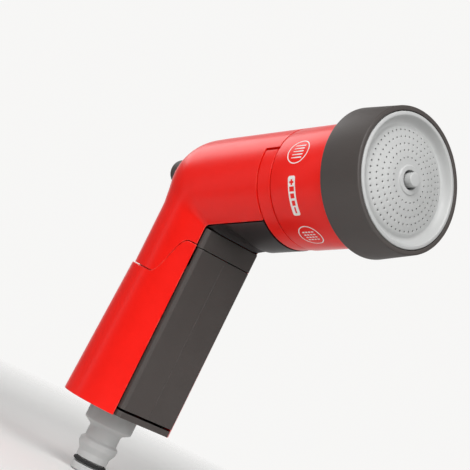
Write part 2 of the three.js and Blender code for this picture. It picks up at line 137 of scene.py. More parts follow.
# %% Drift of shade
def build_drift():
    group = new_group("Drift", [("Scale", "NodeSocketFloat", 30.0), ("Streak", "NodeSocketFloat", 1.0)],
                      [("Value", "NodeSocketFloat"), ("Cloud", "NodeSocketFloat")])
    start, end = group.nodes.new("NodeGroupInput"), group.nodes.new("NodeGroupOutput")
    place = add(group, "ShaderNodeTexCoord")
    stretch = add(group, "ShaderNodeCombineXYZ", inputs={0: 1.0, 1: 1.0, 2: (start, "Streak")})
    point = add(group, "ShaderNodeVectorMath", operation="MULTIPLY", inputs={0: (place, "Object"), 1: (stretch, 0)})
    broad = add(group, "ShaderNodeTexNoise",
                inputs={"Vector": (point, 0), "Scale": (start, "Scale"), "Detail": 3.0, "Roughness": 0.55})
    finer = maths(group, "MULTIPLY", (start, "Scale"), 9.0)
    small = add(group, "ShaderNodeTexNoise", inputs={"Vector": (point, 0), "Scale": (finer, 0), "Detail": 2.0})
    mixed = maths(group, "MULTIPLY_ADD", (small, "Fac"), 0.35, (broad, "Fac"))
    group.links.new(remap(group, (mixed, 0), 0.35, 1.0).outputs[0], end.inputs["Value"])
    group.links.new(broad.outputs["Fac"], end.inputs["Cloud"])
    return group


# %% Texture of the mould
def build_spark():
    group = new_group("Spark texture", [("Scale", "NodeSocketFloat", 1500.0)], [("Height", "NodeSocketFloat")])
    start, end = group.nodes.new("NodeGroupInput"), group.nodes.new("NodeGroupOutput")
    place = add(group, "ShaderNodeTexCoord")
    grain = add(group, "ShaderNodeTexNoise", inputs={
        "Vector": (place, "Object"), "Scale": (start, "Scale"), "Detail": 2.0, "Roughness": 0.6})
    pits = add(group, "ShaderNodeTexVoronoi", feature="SMOOTH_F1", inputs={
        "Vector": (place, "Object"), "Scale": (start, "Scale"), "Smoothness": 0.6})
    total = maths(group, "MULTIPLY_ADD", (pits, "Distance"), 0.6, (grain, "Fac"))
    group.links.new(total.outputs[0], end.inputs["Height"])
    return group


# %% Rubbed edges
def build_rub():
    group = new_group("Rubbed edge", [("Patchiness", "NodeSocketFloat", 180.0)], [("Mask", "NodeSocketFloat")])
    start, end = group.nodes.new("NodeGroupInput"), group.nodes.new("NodeGroupOutput")
    place = add(group, "ShaderNodeTexCoord")
    around = add(group, "ShaderNodeBevel", samples=4, inputs={"Radius": 0.6 * MM})
    here = add(group, "ShaderNodeNewGeometry")
    turn = add(group, "ShaderNodeVectorMath", operation="DOT_PRODUCT", inputs={0: (around, 0), 1: (here, "Normal")})
    edge = remap(group, (turn, "Value"), 0.995, 0.90)
    patch = add(group, "ShaderNodeTexNoise",
                inputs={"Vector": (place, "Object"), "Scale": (start, "Patchiness"), "Detail": 3.0})
    some = remap(group, (patch, "Fac"), 0.42, 0.66)
    both = maths(group, "MULTIPLY", (edge, 0), (some, 0), clamp=True)
    group.links.new(both.outputs[0], end.inputs["Mask"])
    return group


DRIFT, SPARK, RUB = build_drift(), build_spark(), build_rub()
print("groups:", DRIFT.name, SPARK.name, RUB.name)

# %% [markdown]
# ## Finishes
# The shells are solid-coloured ABS: deep gloss, faint ripple where the wall shrank in the mould, and fine
# dust. The charcoal pieces are spark-textured polypropylene, matt with a satin edge. The rose and its
# nozzle are pale acetal. One builder makes all moulded plastics from a few numbers each.

# %% Moulded plastics
def moulded(name, colour, drift, rough, rough_drift, grain=0.0, grain_scale=1500.0, ripple=0.0,
            rub=0.25, rub_colour=None, coat=0.0, coat_rough=0.1, specular=0.5, scale=30.0, streak=1.0):
    material = bpy.data.materials.new(name)
    material.use_nodes = True
    tree = material.node_tree
    shader = tree.nodes["Principled BSDF"]
    shade = add(tree, "ShaderNodeGroup", node_tree=DRIFT, inputs={"Scale": scale, "Streak": streak})
    worn = add(tree, "ShaderNodeGroup", node_tree=RUB)
    texture = add(tree, "ShaderNodeGroup", node_tree=SPARK, inputs={"Scale": grain_scale})
    dark = [c * (1 - drift) for c in colour] + [1]
    pale = [min(1, c * (1 + drift)) for c in colour] + [1]
    body = add(tree, "ShaderNodeMix", data_type="RGBA", inputs={0: (shade, "Value"), 6: dark, 7: pale})
    edge = maths(tree, "MULTIPLY", (worn, "Mask"), rub)
    paint = add(tree, "ShaderNodeMix", data_type="RGBA",
                inputs={0: (edge, 0), 6: (body, 2), 7: list(rub_colour or pale[:3]) + [1]})
    tree.links.new(paint.outputs[2], shader.inputs["Base Color"])
    sheen = remap(tree, (shade, "Value"), 0.0, 1.0, rough - rough_drift, rough + rough_drift)
    tree.links.new(sheen.outputs[0], shader.inputs["Roughness"])
    fine = add(tree, "ShaderNodeBump", inputs={
        "Strength": grain, "Distance": 0.05 * MM, "Height": (texture, "Height")})
    slow = add(tree, "ShaderNodeBump", inputs={
        "Strength": ripple, "Distance": 1.0 * MM, "Height": (shade, "Cloud"), "Normal": (fine, "Normal")})
    tree.links.new(slow.outputs["Normal"], shader.inputs["Normal"])
    shader.inputs["Coat Weight"].default_value = coat
    shader.inputs["Coat Roughness"].default_value = coat_rough
    shader.inputs["Specular IOR Level"].default_value = specular
    return material


RED = moulded("red ABS", (0.88, 0.009, 0.004), 0.05, 0.32, 0.04, grain=0.04, ripple=0.10, coat=0.12,
              coat_rough=0.16, rub=0.5, rub_colour=(0.92, 0.16, 0.12), specular=0.24)
CHARCOAL = moulded("charcoal polypropylene", (0.064, 0.054, 0.050), 0.10, 0.50, 0.05, grain=0.35, ripple=0.05,
                   rub=0.5, rub_colour=(0.13, 0.12, 0.115), scale=22.0)
# The underside cover is the block's charcoal drawn darker: painted shade for the shadow under the barrel.
CHARCOAL_PAINTED_SHADE = moulded("charcoal with painted shade", (0.020, 0.016, 0.016), 0.2, 0.38, 0.05, grain=0.10, ripple=0.05,
                rub=0.2, rub_colour=(0.06, 0.055, 0.055), specular=0.4)
PALE = moulded("pale acetal", (0.50, 0.505, 0.50), 0.035, 0.42, 0.05, grain=0.12, grain_scale=1100.0,
               ripple=0.04, rub=0.3, rub_colour=(0.62, 0.62, 0.61))
INNER = moulded("glass-filled nylon", (0.030, 0.030, 0.033), 0.25, 0.52, 0.06, grain=0.4, scale=60.0, streak=0.3)
NATURAL = moulded("natural acetal", (0.74, 0.72, 0.65), 0.05, 0.40, 0.06, grain=0.1, scale=45.0)
RUBBER = moulded("nitrile rubber", (0.012, 0.012, 0.012), 0.3, 0.72, 0.08, grain=0.5, grain_scale=900.0, scale=80.0)
INK = moulded("pad-printed ink", (0.86, 0.84, 0.82), 0.04, 0.38, 0.06, grain=0.25, grain_scale=2600.0, scale=240.0)


# %% Drawn steel
def drawn_steel():
    material = bpy.data.materials.new("drawn steel")
    material.use_nodes = True
    tree = material.node_tree
    shader = tree.nodes["Principled BSDF"]
    shade = add(tree, "ShaderNodeGroup", node_tree=DRIFT, inputs={"Scale": 90.0, "Streak": 0.15})
    colour = add(tree, "ShaderNodeMix", data_type="RGBA",
                 inputs={0: (shade, "Value"), 6: (0.46, 0.46, 0.47, 1), 7: (0.66, 0.66, 0.66, 1)})
    tree.links.new(colour.outputs[2], shader.inputs["Base Color"])
    tree.links.new(remap(tree, (shade, "Value"), 0.0, 1.0, 0.22, 0.42).outputs[0], shader.inputs["Roughness"])
    bump = add(tree, "ShaderNodeBump", inputs={"Strength": 0.2, "Distance": 0.03 * MM, "Height": (shade, "Value")})
    tree.links.new(bump.outputs["Normal"], shader.inputs["Normal"])
    shader.inputs["Metallic"].default_value = 1.0
    return material


STEEL = drawn_steel()
BY_SLOT = {"red_gloss": RED, "charcoal_satin": CHARCOAL, "black_satin": CHARCOAL_PAINTED_SHADE, "pale_grey": PALE,
           "inner_plastic": INNER, "rubber": RUBBER, "steel": STEEL, "acetal": NATURAL}
SLOT_OF = {row["node"]: row["material_slot"] for row in frame["record"]["subparts"]}
print("finishes:", ", ".join(m.name for m in BY_SLOT.values()))

# %% [markdown]
# ## Mesh helpers
# Turned pieces are lathed from a profile whose corners are first rounded, as a mould rounds them, so the
# bright lines along the edges come from real geometry. Bent and cut shells are grids of points with a
# thickness. Small prismatic pieces start from their CAD solid, get their edges bevelled, and replace it.

# %% Barrel frame and piece maker
HINGE = JOINTS["head_turn"]
ALONG = Vector(HINGE["axis"]).normalized()
ELBOW = Vector(HINGE["pos_m"])
BELOW = Vector((0, 1, 0)).cross(ALONG)  # from the barrel's axis towards its underside
BARREL = Matrix.Translation(ELBOW) @ Matrix((BELOW, Vector((0, 1, 0)), ALONG)).transposed().to_4x4()
UPRIGHT = Matrix.Identity(4)


def place(name, mesh, body, node, material=None):
    """Links a finished mesh, lets it ride on its body and stand for its CAD node."""
    piece = bpy.data.objects.new(name, mesh)
    bpy.context.scene.collection.objects.link(piece)
    mesh.materials.clear()
    mesh.materials.append(material or BY_SLOT[SLOT_OF[node]])
    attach(piece, body)
    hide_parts(node)
    return piece


def settle(piece):
    """Applies the modifiers, so that the mesh itself is the final shape."""
    depsgraph = bpy.context.evaluated_depsgraph_get()
    final = bpy.data.meshes.new_from_object(piece.evaluated_get(depsgraph))
    piece.modifiers.clear()
    piece.data = final
    return piece


def smooth(mesh, angle=35.0):
    mesh.polygons.foreach_set("use_smooth", [True] * len(mesh.polygons))
    mesh.set_sharp_from_angle(angle=math.radians(angle))


def even(piece):
    """Face-weighted normals keep flats flat beside a rounded edge."""
    mod = piece.modifiers.new("even", "WEIGHTED_NORMAL")
    mod.keep_sharp = True
    return piece


# %% Rounded profiles and turned pieces
def rounded(profile, radius=0.3, steps=3, closed=True):
    """Rounds each corner of a profile of (radius, height) pairs; a corner on the axis stays."""
    pts = [Vector(p[:2]) for p in profile]
    size = [p[2] if len(p) > 2 else radius for p in profile]
    out = []
    for i, p in enumerate(pts):
        before, after = pts[i - 1], pts[(i + 1) % len(pts)]
        at_end = not closed and i in (0, len(pts) - 1)
        if at_end or p.x < 1e-6 or size[i] <= 0:
            out.append(p)
            continue
        a = p + (before - p).normalized() * min(size[i], 0.45 * (before - p).length)
        b = p + (after - p).normalized() * min(size[i], 0.45 * (after - p).length)
        for k in range(steps + 1):
            s = k / steps
            out.append(a * (1 - s) ** 2 + p * 2 * s * (1 - s) + b * s**2)
    return out


def lathe(name, profile, matrix, sides=144, closed=True):
    """A turned mesh about the matrix's Z axis, from a profile in mm."""
    bm = bmesh.new()
    rings = []
    for r, h in profile:
        if r < 1e-6:
            rings.append([bm.verts.new((0, 0, h * MM))])
        else:
            turns = [2 * math.pi * k / sides for k in range(sides)]
            rings.append([bm.verts.new((r * MM * math.cos(a), r * MM * math.sin(a), h * MM)) for a in turns])
    pairs = list(zip(rings, rings[1:])) + ([(rings[-1], rings[0])] if closed else [])
    for low, high in pairs:
        for k in range(sides):
            corners = [low[k % len(low)], low[(k + 1) % len(low)], high[(k + 1) % len(high)], high[k % len(high)]]
            unique = list(dict.fromkeys(corners))
            if len(unique) > 2:
                bm.faces.new(unique)
    bmesh.ops.recalc_face_normals(bm, faces=bm.faces)
    bm.transform(matrix)
    mesh = bpy.data.meshes.new(name)
    bm.to_mesh(mesh)
    bm.free()
    smooth(mesh)
    return mesh


# %% Grids of points and shells
def grid_mesh(name, rows):
    """A sheet from rows of points in metres; None leaves a hole, so the outline may step."""
    bm = bmesh.new()
    verts = [[bm.verts.new(p) if p is not None else None for p in row] for row in rows]
    for low, high in zip(verts, verts[1:]):
        for k in range(len(low) - 1):
            corners = [low[k], low[k + 1], high[k + 1], high[k]]
            if all(corners):
                bm.faces.new(corners)
    bmesh.ops.recalc_face_normals(bm, faces=bm.faces)
    mesh = bpy.data.meshes.new(name)
    bm.to_mesh(mesh)
    bm.free()
    return mesh


def face_out(mesh, inside):
    """Turns the sheet's faces away from a point inside the piece."""
    face = mesh.polygons[len(mesh.polygons) // 2]
    if face.normal.dot(face.center - inside) < 0:
        mesh.flip_normals()


def drop_crumbs(mesh, least=12):
    """Deletes loose islands of a few faces, which rounding a lip can leave at a sharp corner."""
    bm = bmesh.new()
    bm.from_mesh(mesh)
    bmesh.ops.remove_doubles(bm, verts=bm.verts, dist=0.001 * MM)
    seen, crumbs = set(), []
    for start in bm.faces:
        if start in seen:
            continue
        island, edge = {start}, [start]
        while edge:
            for e in edge.pop().edges:
                for f in e.link_faces:
                    if f not in island:
                        island.add(f)
                        edge.append(f)
        seen |= island
        if len(island) < least:
            crumbs += island
    bmesh.ops.delete(bm, geom=crumbs, context="FACES")
    bm.to_mesh(mesh)
    bm.free()


def shell(piece, wall, lip, cut=None):
    """Gives a sheet its wall, cuts it with a solid and rounds the lips all round."""
    skin = piece.modifiers.new("wall", "SOLIDIFY")
    skin.thickness = wall * MM
    skin.offset = -1
    skin.use_even_offset = True
    if cut:
        opening = piece.modifiers.new("cut", "BOOLEAN")
        opening.operation, opening.solver, opening.object = "DIFFERENCE", "EXACT", cut
    edges = piece.modifiers.new("lip", "BEVEL")
    edges.limit_method = "ANGLE"
    edges.angle_limit = math.radians(50)
    edges.width = lip * MM
    edges.segments = 3
    settle(piece)
    drop_crumbs(piece.data)
    smooth(piece.data)
    return settle(even(piece))


# %% Pieces from CAD solids
def refined(name, node, body, width=0.3, segments=3, angle=28.0, material=None):
    """The CAD solid with its flat faces joined up and its edges bevelled."""
    bm = bmesh.new()
    bm.from_mesh(frame["nodes"][node].data)
    bmesh.ops.remove_doubles(bm, verts=bm.verts, dist=0.002 * MM)
    bmesh.ops.dissolve_limit(bm, angle_limit=math.radians(1.5), verts=bm.verts, edges=bm.edges)
    mesh = bpy.data.meshes.new(name)
    bm.to_mesh(mesh)
    bm.free()
    piece = place(name, mesh, body, node, material)
    edges = piece.modifiers.new("edges", "BEVEL")
    edges.limit_method = "ANGLE"
    edges.angle_limit = math.radians(angle)
    edges.width = width * MM
    edges.segments = segments
    edges.use_clamp_overlap = True
    settle(piece)
    smooth(piece.data)
    return settle(even(piece))


print("barrel leans", round(math.degrees(math.asin(ALONG.z)), 1), "degrees up")

# %% [markdown]
# ## Head shell
# The elbow is where a round barrel and a round neck meet. Two cylinders would meet in a hard line, but the
# real mould rounds it, so the surface is found as a soft union: rays are shot out from the bend's middle
# until they meet it. The rays stop at the slot down the front. The neck's lower edge follows the wavy
# joint with the grip shell, and a hood runs on over the band at the top.

# %% Measures of the shells (mm)
BARREL_R, BEND_R, NECK_R = 24.1, 24.0, 21.9
NECK_TOP_R, FLARE_Z = 23.5, 114.0  # the neck widens above this height
MOUTH = 15.0  # half-width of the slot
BAND_T, COLLAR_T = 43.3, 50.9  # along the barrel from the elbow
NOTCH_H = 8.4  # lower edge of the hood, above the barrel's axis
GAP, JOINT_GAP = 0.3, 0.4
WAVE_DIP, WAVE_CREST = (7.0, 86.3), (17.0, 103.7)
BEND_PIVOT = np.array([26.0, 106.0])  # the fan of sections turns about this line
PITCH = math.asin(ALONG.z)
E = np.array([ELBOW.x, ELBOW.z]) / MM
A2 = np.array([ALONG.x, ALONG.z])
B2 = np.array([BELOW.x, BELOW.z])


def wave_height(x):
    """Height of the joint between neck and grip shell, seen from the side."""
    s = np.linspace(0, 1, 41)
    (x0, z0), (x3, z3) = WAVE_DIP, WAVE_CREST
    xs = (1 - s) ** 3 * x0 + 3 * s * (1 - s) ** 2 * (x0 + 5.6) + 3 * s**2 * (1 - s) * (x3 - 4.8) + s**3 * x3
    zs = (1 - s) ** 3 * z0 + 3 * s * (1 - s) ** 2 * (z0 - 0.4) + 3 * s**2 * (1 - s) * (z3 + 0.6) + s**3 * z3
    return np.interp(x, np.r_[-30, xs, 30], np.r_[87.2, zs, z3])


def joint_edge(x, lift):
    """The joint's line moved square to itself, so that the gap is as wide where the line is steep."""
    slope = (wave_height(x + 0.15) - wave_height(x - 0.15)) / 0.3
    return wave_height(x) + lift * np.sqrt(1 + slope**2)


# %% Slot cutter
SLOT_OVERLAP = 1.5  # the sheets run this far into the slot before it is cut


def prism(name, outline, half_width):
    """A solid as wide as 2 * half_width across Y, from an outline of (x, z) in mm."""
    bm = bmesh.new()
    sides = [[bm.verts.new((x * MM, y * MM, z * MM)) for x, z in outline] for y in (-half_width, half_width)]
    for k in range(len(outline)):
        n = (k + 1) % len(outline)
        bm.faces.new([sides[0][k], sides[0][n], sides[1][n], sides[1][k]])
    bm.faces.new(sides[0])
    bm.faces.new(sides[1])
    bmesh.ops.recalc_face_normals(bm, faces=bm.faces)
    mesh = bpy.data.meshes.new(name)
    bm.to_mesh(mesh)
    bm.free()
    return mesh


slot_end = E + A2 * (BAND_T + 20)
slot_low = slot_end + B2 * 40
slot_outline = [(E[0], 0), (60, 0), tuple(slot_low), tuple(slot_end), tuple(E)]
SLOT = bpy.data.objects.new("slot_cutter", prism("slot_cutter", slot_outline, MOUTH))
bpy.context.scene.collection.objects.link(SLOT)

# %% Soft union of barrel and neck
def outside(p):
    """Signed distance in mm from the shell's outer surface; p is an array of (x, y, z)."""
    along = (p[..., 0] - E[0]) * A2[0] + (p[..., 2] - E[1]) * A2[1]
    below = (p[..., 0] - E[0]) * B2[0] + (p[..., 2] - E[1]) * B2[1]
    radius = BEND_R + (BARREL_R - BEND_R) * np.clip((along - 1) / 6, 0, 1)
    barrel = np.sqrt(below**2 + p[..., 1] ** 2 + np.minimum(along - 1, 0) ** 2) - radius
    neck_r = NECK_R + (NECK_TOP_R - NECK_R) * np.clip((p[..., 2] - FLARE_Z) / (E[1] - FLARE_Z), 0, 1)
    over = np.maximum(p[..., 2] - E[1], 0)
    neck = np.sqrt((p[..., 0] - E[0]) ** 2 + p[..., 1] ** 2 + over**2) - neck_r
    soft = 0.4 + 1.0 * np.clip((p[..., 0] - 2) / 12, 0, 1)
    h = np.clip(0.5 + 0.5 * (neck - barrel) / soft, 0, 1)
    return neck * (1 - h) + barrel * h - soft * h * (1 - h)


def surface_points(centre, inner, angles):
    """Points where rays from a section's centre leave the shell; angle 0 looks at the slot."""
    rays = np.stack([np.cos(angles) * inner[0], np.sin(angles), np.cos(angles) * inner[1]], -1)
    origin = np.array([centre[0], 0.0, centre[1]])
    low, high = np.zeros(len(angles)), np.full(len(angles), 70.0)
    for _ in range(40):
        mid = (low + high) / 2
        is_in = outside(origin + rays * mid[:, None]) < 0
        low, high = np.where(is_in, mid, low), np.where(is_in, high, mid)
    return origin + rays * low[:, None]


def mouth_angle(centre, inner):
    """The angle at which a section reaches the slot's side."""
    low, high = 0.15, 1.45
    for _ in range(30):
        mid = (low + high) / 2
        y = surface_points(centre, inner, np.array([mid]))[0, 1]
        low, high = (mid, high) if y < MOUTH - SLOT_OVERLAP else (low, mid)
    return low


# %% Sections and sheet of the head shell
SIDE_COLS, TOP_COLS = 30, 30
HOOD_ANGLE = math.acos(-NOTCH_H / BARREL_R)


def section(centre, inner):
    first = mouth_angle(centre, inner)
    half = np.r_[np.linspace(first, HOOD_ANGLE, SIDE_COLS), np.linspace(HOOD_ANGLE, math.pi, TOP_COLS)[1:]]
    right = surface_points(centre, inner, half)
    left = right[-2::-1] * [1, -1, 1]
    return np.concatenate([right, left])


def head_shell_rows():
    rows = []
    foot = section((E[0], BEND_PIVOT[1]), (1.0, 0.0))
    low = joint_edge(foot[:, 0], JOINT_GAP / 2)
    for s in np.linspace(0, 1, 16)[:-1]:
        level = foot.copy()
        level[:, 2] = low + (BEND_PIVOT[1] - low) * s
        rows.append(level)
    swing = math.pi / 2 - PITCH
    first = BEND_PIVOT[0] - E[0]
    last = float((BEND_PIVOT - E) @ B2)
    for s in np.linspace(0, 1, 34):
        a = swing * s
        back = np.array([-math.cos(a), math.sin(a)])
        reach = first + (last - first) * s
        rows.append(section(BEND_PIVOT + back * reach, -back))
    start = float((BEND_PIVOT - E) @ A2)
    for t in np.linspace(start, BAND_T, 14)[1:]:
        rows.append(section(E + A2 * t, B2))
    under = SIDE_COLS - 1
    for t in np.linspace(BAND_T, COLLAR_T - GAP, 5)[1:]:
        level = list(section(E + A2 * t, B2))
        total = len(level)
        rows.append([p if under <= k < total - under else None for k, p in enumerate(level)])
    return [[None if p is None else Vector(p) * MM for p in row] for row in rows]


sheet = grid_mesh("head_shell_red", head_shell_rows())
face_out(sheet, ELBOW)
head_shell = shell(place("head_shell_red", sheet, "gun_body", "head_shell"), 2.0, 0.32, SLOT)
print("head shell:", len(head_shell.data.vertices), "points")

# %% [markdown]
# ## Grip shell, band and underside
# The grip shell is a cone a little fatter than the neck, open at the front, so its joint shows as a step.
# The band closes the barrel below the hood. The dark cover is the block's charcoal drawn darker as painted
# shade; it carries on the barrel's roundness and dips up into a round relief where the index finger rests,
# so it is one sheet: at each point it takes the higher of the two surfaces.

# %% Grip shell
GRIP_BOTTOM, GRIP_TOP, HEEL_R, PROUD = 28.0, 102.0, 23.4, 0.3
LEAN = 2 / (GRIP_TOP - GRIP_BOTTOM)


def grip_rows():
    angles = np.linspace(0, 1, 73)

    def at(z):
        r = NECK_R + PROUD + (HEEL_R - NECK_R) * (GRIP_TOP - z) / (GRIP_TOP - GRIP_BOTTOM)
        edge = np.arcsin((MOUTH - SLOT_OVERLAP) / r)
        turn = edge + (2 * math.pi - 2 * edge) * angles
        return np.stack([E[0] + LEAN * (z - GRIP_TOP) + r * np.cos(turn), r * np.sin(turn)], -1)

    rim = at(np.full(73, 95.0))
    for _ in range(4):
        rim = at(joint_edge(rim[:, 0], -JOINT_GAP / 2))
    top = joint_edge(rim[:, 0], -JOINT_GAP / 2)
    rows = []
    for s in np.linspace(0, 1, 40):
        z = GRIP_BOTTOM + (top - GRIP_BOTTOM) * s
        xy = at(z)
        rows.append([Vector((x, y, h)) * MM for (x, y), h in zip(xy, z)])
    return rows


def tongue_rows():
    """A thin sleeve inside the joint, as the real shell has, so that no daylight comes through."""
    r, below, above = NECK_R - 2.3, -1.3, 2.2
    edge = math.asin((MOUTH - SLOT_OVERLAP) / r)
    turns = np.linspace(edge, 2 * math.pi - edge, 73)
    x, y = E[0] + r * np.cos(turns), r * np.sin(turns)
    low, high = joint_edge(x, below), joint_edge(x, above)
    return [[Vector(p) * MM for p in zip(x, y, low + (high - low) * s)] for s in np.linspace(0, 1, 6)]


sheet = grid_mesh("rear_grip_red", grip_rows())
face_out(sheet, Vector((0.0, 0.0, 0.07)))
shell(place("rear_grip_red", sheet, "gun_body", "rear_grip_shell"), 2.3, 0.2, SLOT)


sheet = grid_mesh("joint_tongue_red", tongue_rows())
face_out(sheet, Vector((0.0, 0.0, 0.09)))
shell(place("joint_tongue_red", sheet, "gun_body", "head_shell"), 0.7, 0.1, SLOT)
bpy.data.objects.remove(SLOT)


# %% Band under the hood
def arc_rows(r, t_low, t_high, limit, columns=80, levels=6):
    turns = np.linspace(-limit, limit, columns)
    return [[BARREL @ (Vector((r * math.cos(a), r * math.sin(a), t)) * MM) for a in turns]
            for t in np.linspace(t_low, t_high, levels)]


BAND_R, HOOD_GAP, BAND_GAP = 23.8, 1.0, 0.6
band_end = math.acos(-(NOTCH_H - HOOD_GAP) / BAND_R)
sheet = grid_mesh("band_red", arc_rows(BAND_R, BAND_T + GAP, COLLAR_T - BAND_GAP, band_end))
face_out(sheet, BARREL @ Vector((0, 0, 47 * MM)))
shell(place("band_red", sheet, "gun_body", "barrel_band"), 2.8, 0.25)

# %% Underside cover with the finger relief
COVER_HALF, COVER_R = 14.45, 24.0
RELIEF_X, RELIEF_Z, RELIEF_R = 29.5, 103.3, 11.3
BLOCK_TOP, COVER_BACK = 111.2, 19.2


def cover_rows():
    rows = []
    for s in np.linspace(0, 1, 90):
        row = []
        for y in np.linspace(-COVER_HALF, COVER_HALF, 41):
            drop = math.sqrt(COVER_R**2 - y * y)
            front = E[0] + (BAND_T - GAP) * A2[0] + drop * B2[0]
            x = COVER_BACK + (front - COVER_BACK) * s
            round_z = E[1] + (x - E[0]) * math.tan(PITCH) - drop / math.cos(PITCH)
            dx = min(abs(x - RELIEF_X), RELIEF_R)
            relief = RELIEF_Z + math.sqrt(RELIEF_R**2 - dx * dx)
            floor = max(relief if abs(x - RELIEF_X) < RELIEF_R else 0, BLOCK_TOP + GAP if x < 22 else 0)
            soft = 1.2
            h = min(1, max(0, 0.5 + 0.5 * (round_z - floor) / soft))
            z = floor * (1 - h) + round_z * h + soft * h * (1 - h)
            row.append(Vector((x, y, z)) * MM)
        rows.append(row)
    return rows


# The cover's darker charcoal is painted shade for the shadow under the barrel.
sheet = grid_mesh("underside_charcoal_painted_shade", cover_rows())
face_out(sheet, Vector((0.03, 0.0, 0.13)))
shell(place("underside_charcoal_painted_shade", sheet, "gun_body", "underside_cover"), 1.8, 0.3)
print("shells done")

# %% [markdown]
# ## Trigger, block and thumb button
# These are prismatic, so their CAD solids already have the right faces. Only the edges need the small
# radii of a mould. The button is a domed oval built up from shrinking ovals.

# %% Trigger and block
refined("trigger_charcoal", "trigger_lever", "trigger", width=0.35)
refined("front_block_charcoal", "front_block", "gun_body", width=0.3)


# A low bead runs down the middle of the trigger, where the mould's halves met.
BEAD_HALF, BEAD_FRONT, BEAD_ROOT = 0.22, 21.99, 21.8
bead = prism("trigger_mould_line", [(BEAD_ROOT, 32.6), (BEAD_FRONT, 32.6), (BEAD_FRONT, 102.2), (BEAD_ROOT, 102.2)],
             BEAD_HALF)
bead_piece = place("trigger_mould_line", bead, "trigger", "trigger_lever")
round_off = bead_piece.modifiers.new("round", "BEVEL")
round_off.width, round_off.segments = 0.08 * MM, 3
settle(bead_piece)
smooth(bead_piece.data)


# %% Thumb button
def oval(half_width, half_height, steps=24):
    flat = half_width - half_height
    ring = []
    for k in range(steps):
        a = -math.pi / 2 + math.pi * k / (steps - 1)
        ring.append((flat + half_height * math.cos(a), half_height * math.sin(a)))
    return ring + [(-y, -z) for y, z in ring]


def thumb_button():
    low, high = (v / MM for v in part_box("lock_button"))
    middle = (low.z + high.z) / 2
    half, tall, outer = 11.0, 5.5, low.x
    layers = [(half + 0.9, tall + 0.9, -12.6), (half + 0.9, tall + 0.9, -13.6), (half, tall, -13.6)]
    layers += [(half, tall, outer + 4.2), (half, tall, outer + 2.6)]
    layers += [(half - d, tall - d, outer + x) for d, x in
               [(0.25, 1.8), (0.7, 1.2), (1.3, 0.75), (2.1, 0.4), (3.2, 0.15), (4.4, 0.0)]]
    bm = bmesh.new()
    rings = [[bm.verts.new((x * MM, y * MM, (z + middle) * MM)) for y, z in oval(w, h)] for w, h, x in layers]
    for a, b in zip(rings, rings[1:]):
        for k in range(len(a)):
            bm.faces.new([a[k], a[(k + 1) % len(a)], b[(k + 1) % len(b)], b[k]])
    bm.faces.new(rings[0])
    bm.faces.new(rings[-1])
    bmesh.ops.recalc_face_normals(bm, faces=bm.faces)
    mesh = bpy.data.meshes.new("thumb_button_charcoal")
    bm.to_mesh(mesh)
    bm.free()
    smooth(mesh)
    return mesh


settle(even(place("thumb_button_charcoal", thumb_button(), "thumb_button", "lock_button")))


# %% Opening for the button
def cut_button_opening():
    low, high = (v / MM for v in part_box("lock_button"))
    middle = (low.z + high.z) / 2
    bm = bmesh.new()
    ends = [[bm.verts.new((x * MM, y * MM, (z + middle) * MM)) for y, z in oval(11.3, 5.8)] for x in (-45, -10)]
    for k in range(len(ends[0])):
        n = (k + 1) % len(ends[0])
        bm.faces.new([ends[0][k], ends[0][n], ends[1][n], ends[1][k]])
    bm.faces.new(ends[0])
    bm.faces.new(ends[1])
    bmesh.ops.recalc_face_normals(bm, faces=bm.faces)
    mesh = bpy.data.meshes.new("cutter")
    bm.to_mesh(mesh)
    bm.free()
    cutter = bpy.data.objects.new("cutter", mesh)
    bpy.context.scene.collection.objects.link(cutter)
    hole = head_shell.modifiers.new("opening", "BOOLEAN")
    hole.operation, hole.solver, hole.object = "DIFFERENCE", "EXACT", cutter
    settle(head_shell)
    bpy.data.objects.remove(cutter)
    smooth(head_shell.data)


cut_button_opening()
print("button opening cut")

# %% [markdown]
# ## Turning head
# Collar, bezel, rose and jet pin are all turned, so each is a lathed profile with rounded corners. The
# rose's spray holes are real: every hole is a small well set in a square cell of its ring, and the rings
# are bridged into one skin.

# %% Collar and bezel
BEZEL_T, FRONT_T = 81.8, 100.2
BEZEL_REAR_R, BEZEL_FRONT_R, FACE_R = 28.95, 28.0, 25.9
collar = rounded([(22, COLLAR_T), (BARREL_R, COLLAR_T, 0.6), (BARREL_R, BEZEL_T - 2.0, 1.2),
                  (BARREL_R - 0.7, BEZEL_T - 1.0, 0.8), (BARREL_R - 0.7, 84.4), (22, 84.4)])
place("collar_red", lathe("collar_red", collar, BARREL), "spray_head", "selector_collar")
bezel = rounded([(24.1, BEZEL_T), (BEZEL_REAR_R, BEZEL_T, 0.9), (BEZEL_FRONT_R, FRONT_T, 0.55),
                 (FACE_R + 0.3, FRONT_T, 0.25), (FACE_R + 0.3, 84.4), (24.1, 84.4)], steps=4)
place("bezel_charcoal", lathe("bezel_charcoal", bezel, BARREL), "spray_head", "bezel_ring")

# %% Rose with its spray holes
RINGS = [(19.1, 50), (16.5, 44), (13.85, 36), (11.3, 30), (8.55, 24)]  # radius in mm, holes
HOLE_R, HOLE_DEPTH, CELL = 0.36, 1.5, 0.8


def dome(r):
    """Height of the rose's face along the barrel at a radius."""
    knots = [(6.6, FRONT_T), (8.5, FRONT_T), (11.3, 99.9), (16.5, 98.85), (20.0, 97.75), (20.6, 97.45)]
    return float(np.interp(r, [k[0] for k in knots], [k[1] for k in knots]))


def ring_of(bm, r, h, count):
    return [bm.verts.new((r * math.cos(a), r * math.sin(a), h)) for a in
            (2 * math.pi * k / count for k in range(count))]


def join(bm, a, b):
    edges = [bm.edges.get((v, r[(k + 1) % len(r)])) or bm.edges.new((v, r[(k + 1) % len(r)]))
             for r in (a, b) for k, v in enumerate(r)]
    if len(a) == len(b):
        for k in range(len(a)):
            n = (k + 1) % len(a)
            bm.faces.new([a[k], a[n], b[n], b[k]])
    else:
        bmesh.ops.bridge_loops(bm, edges=edges)


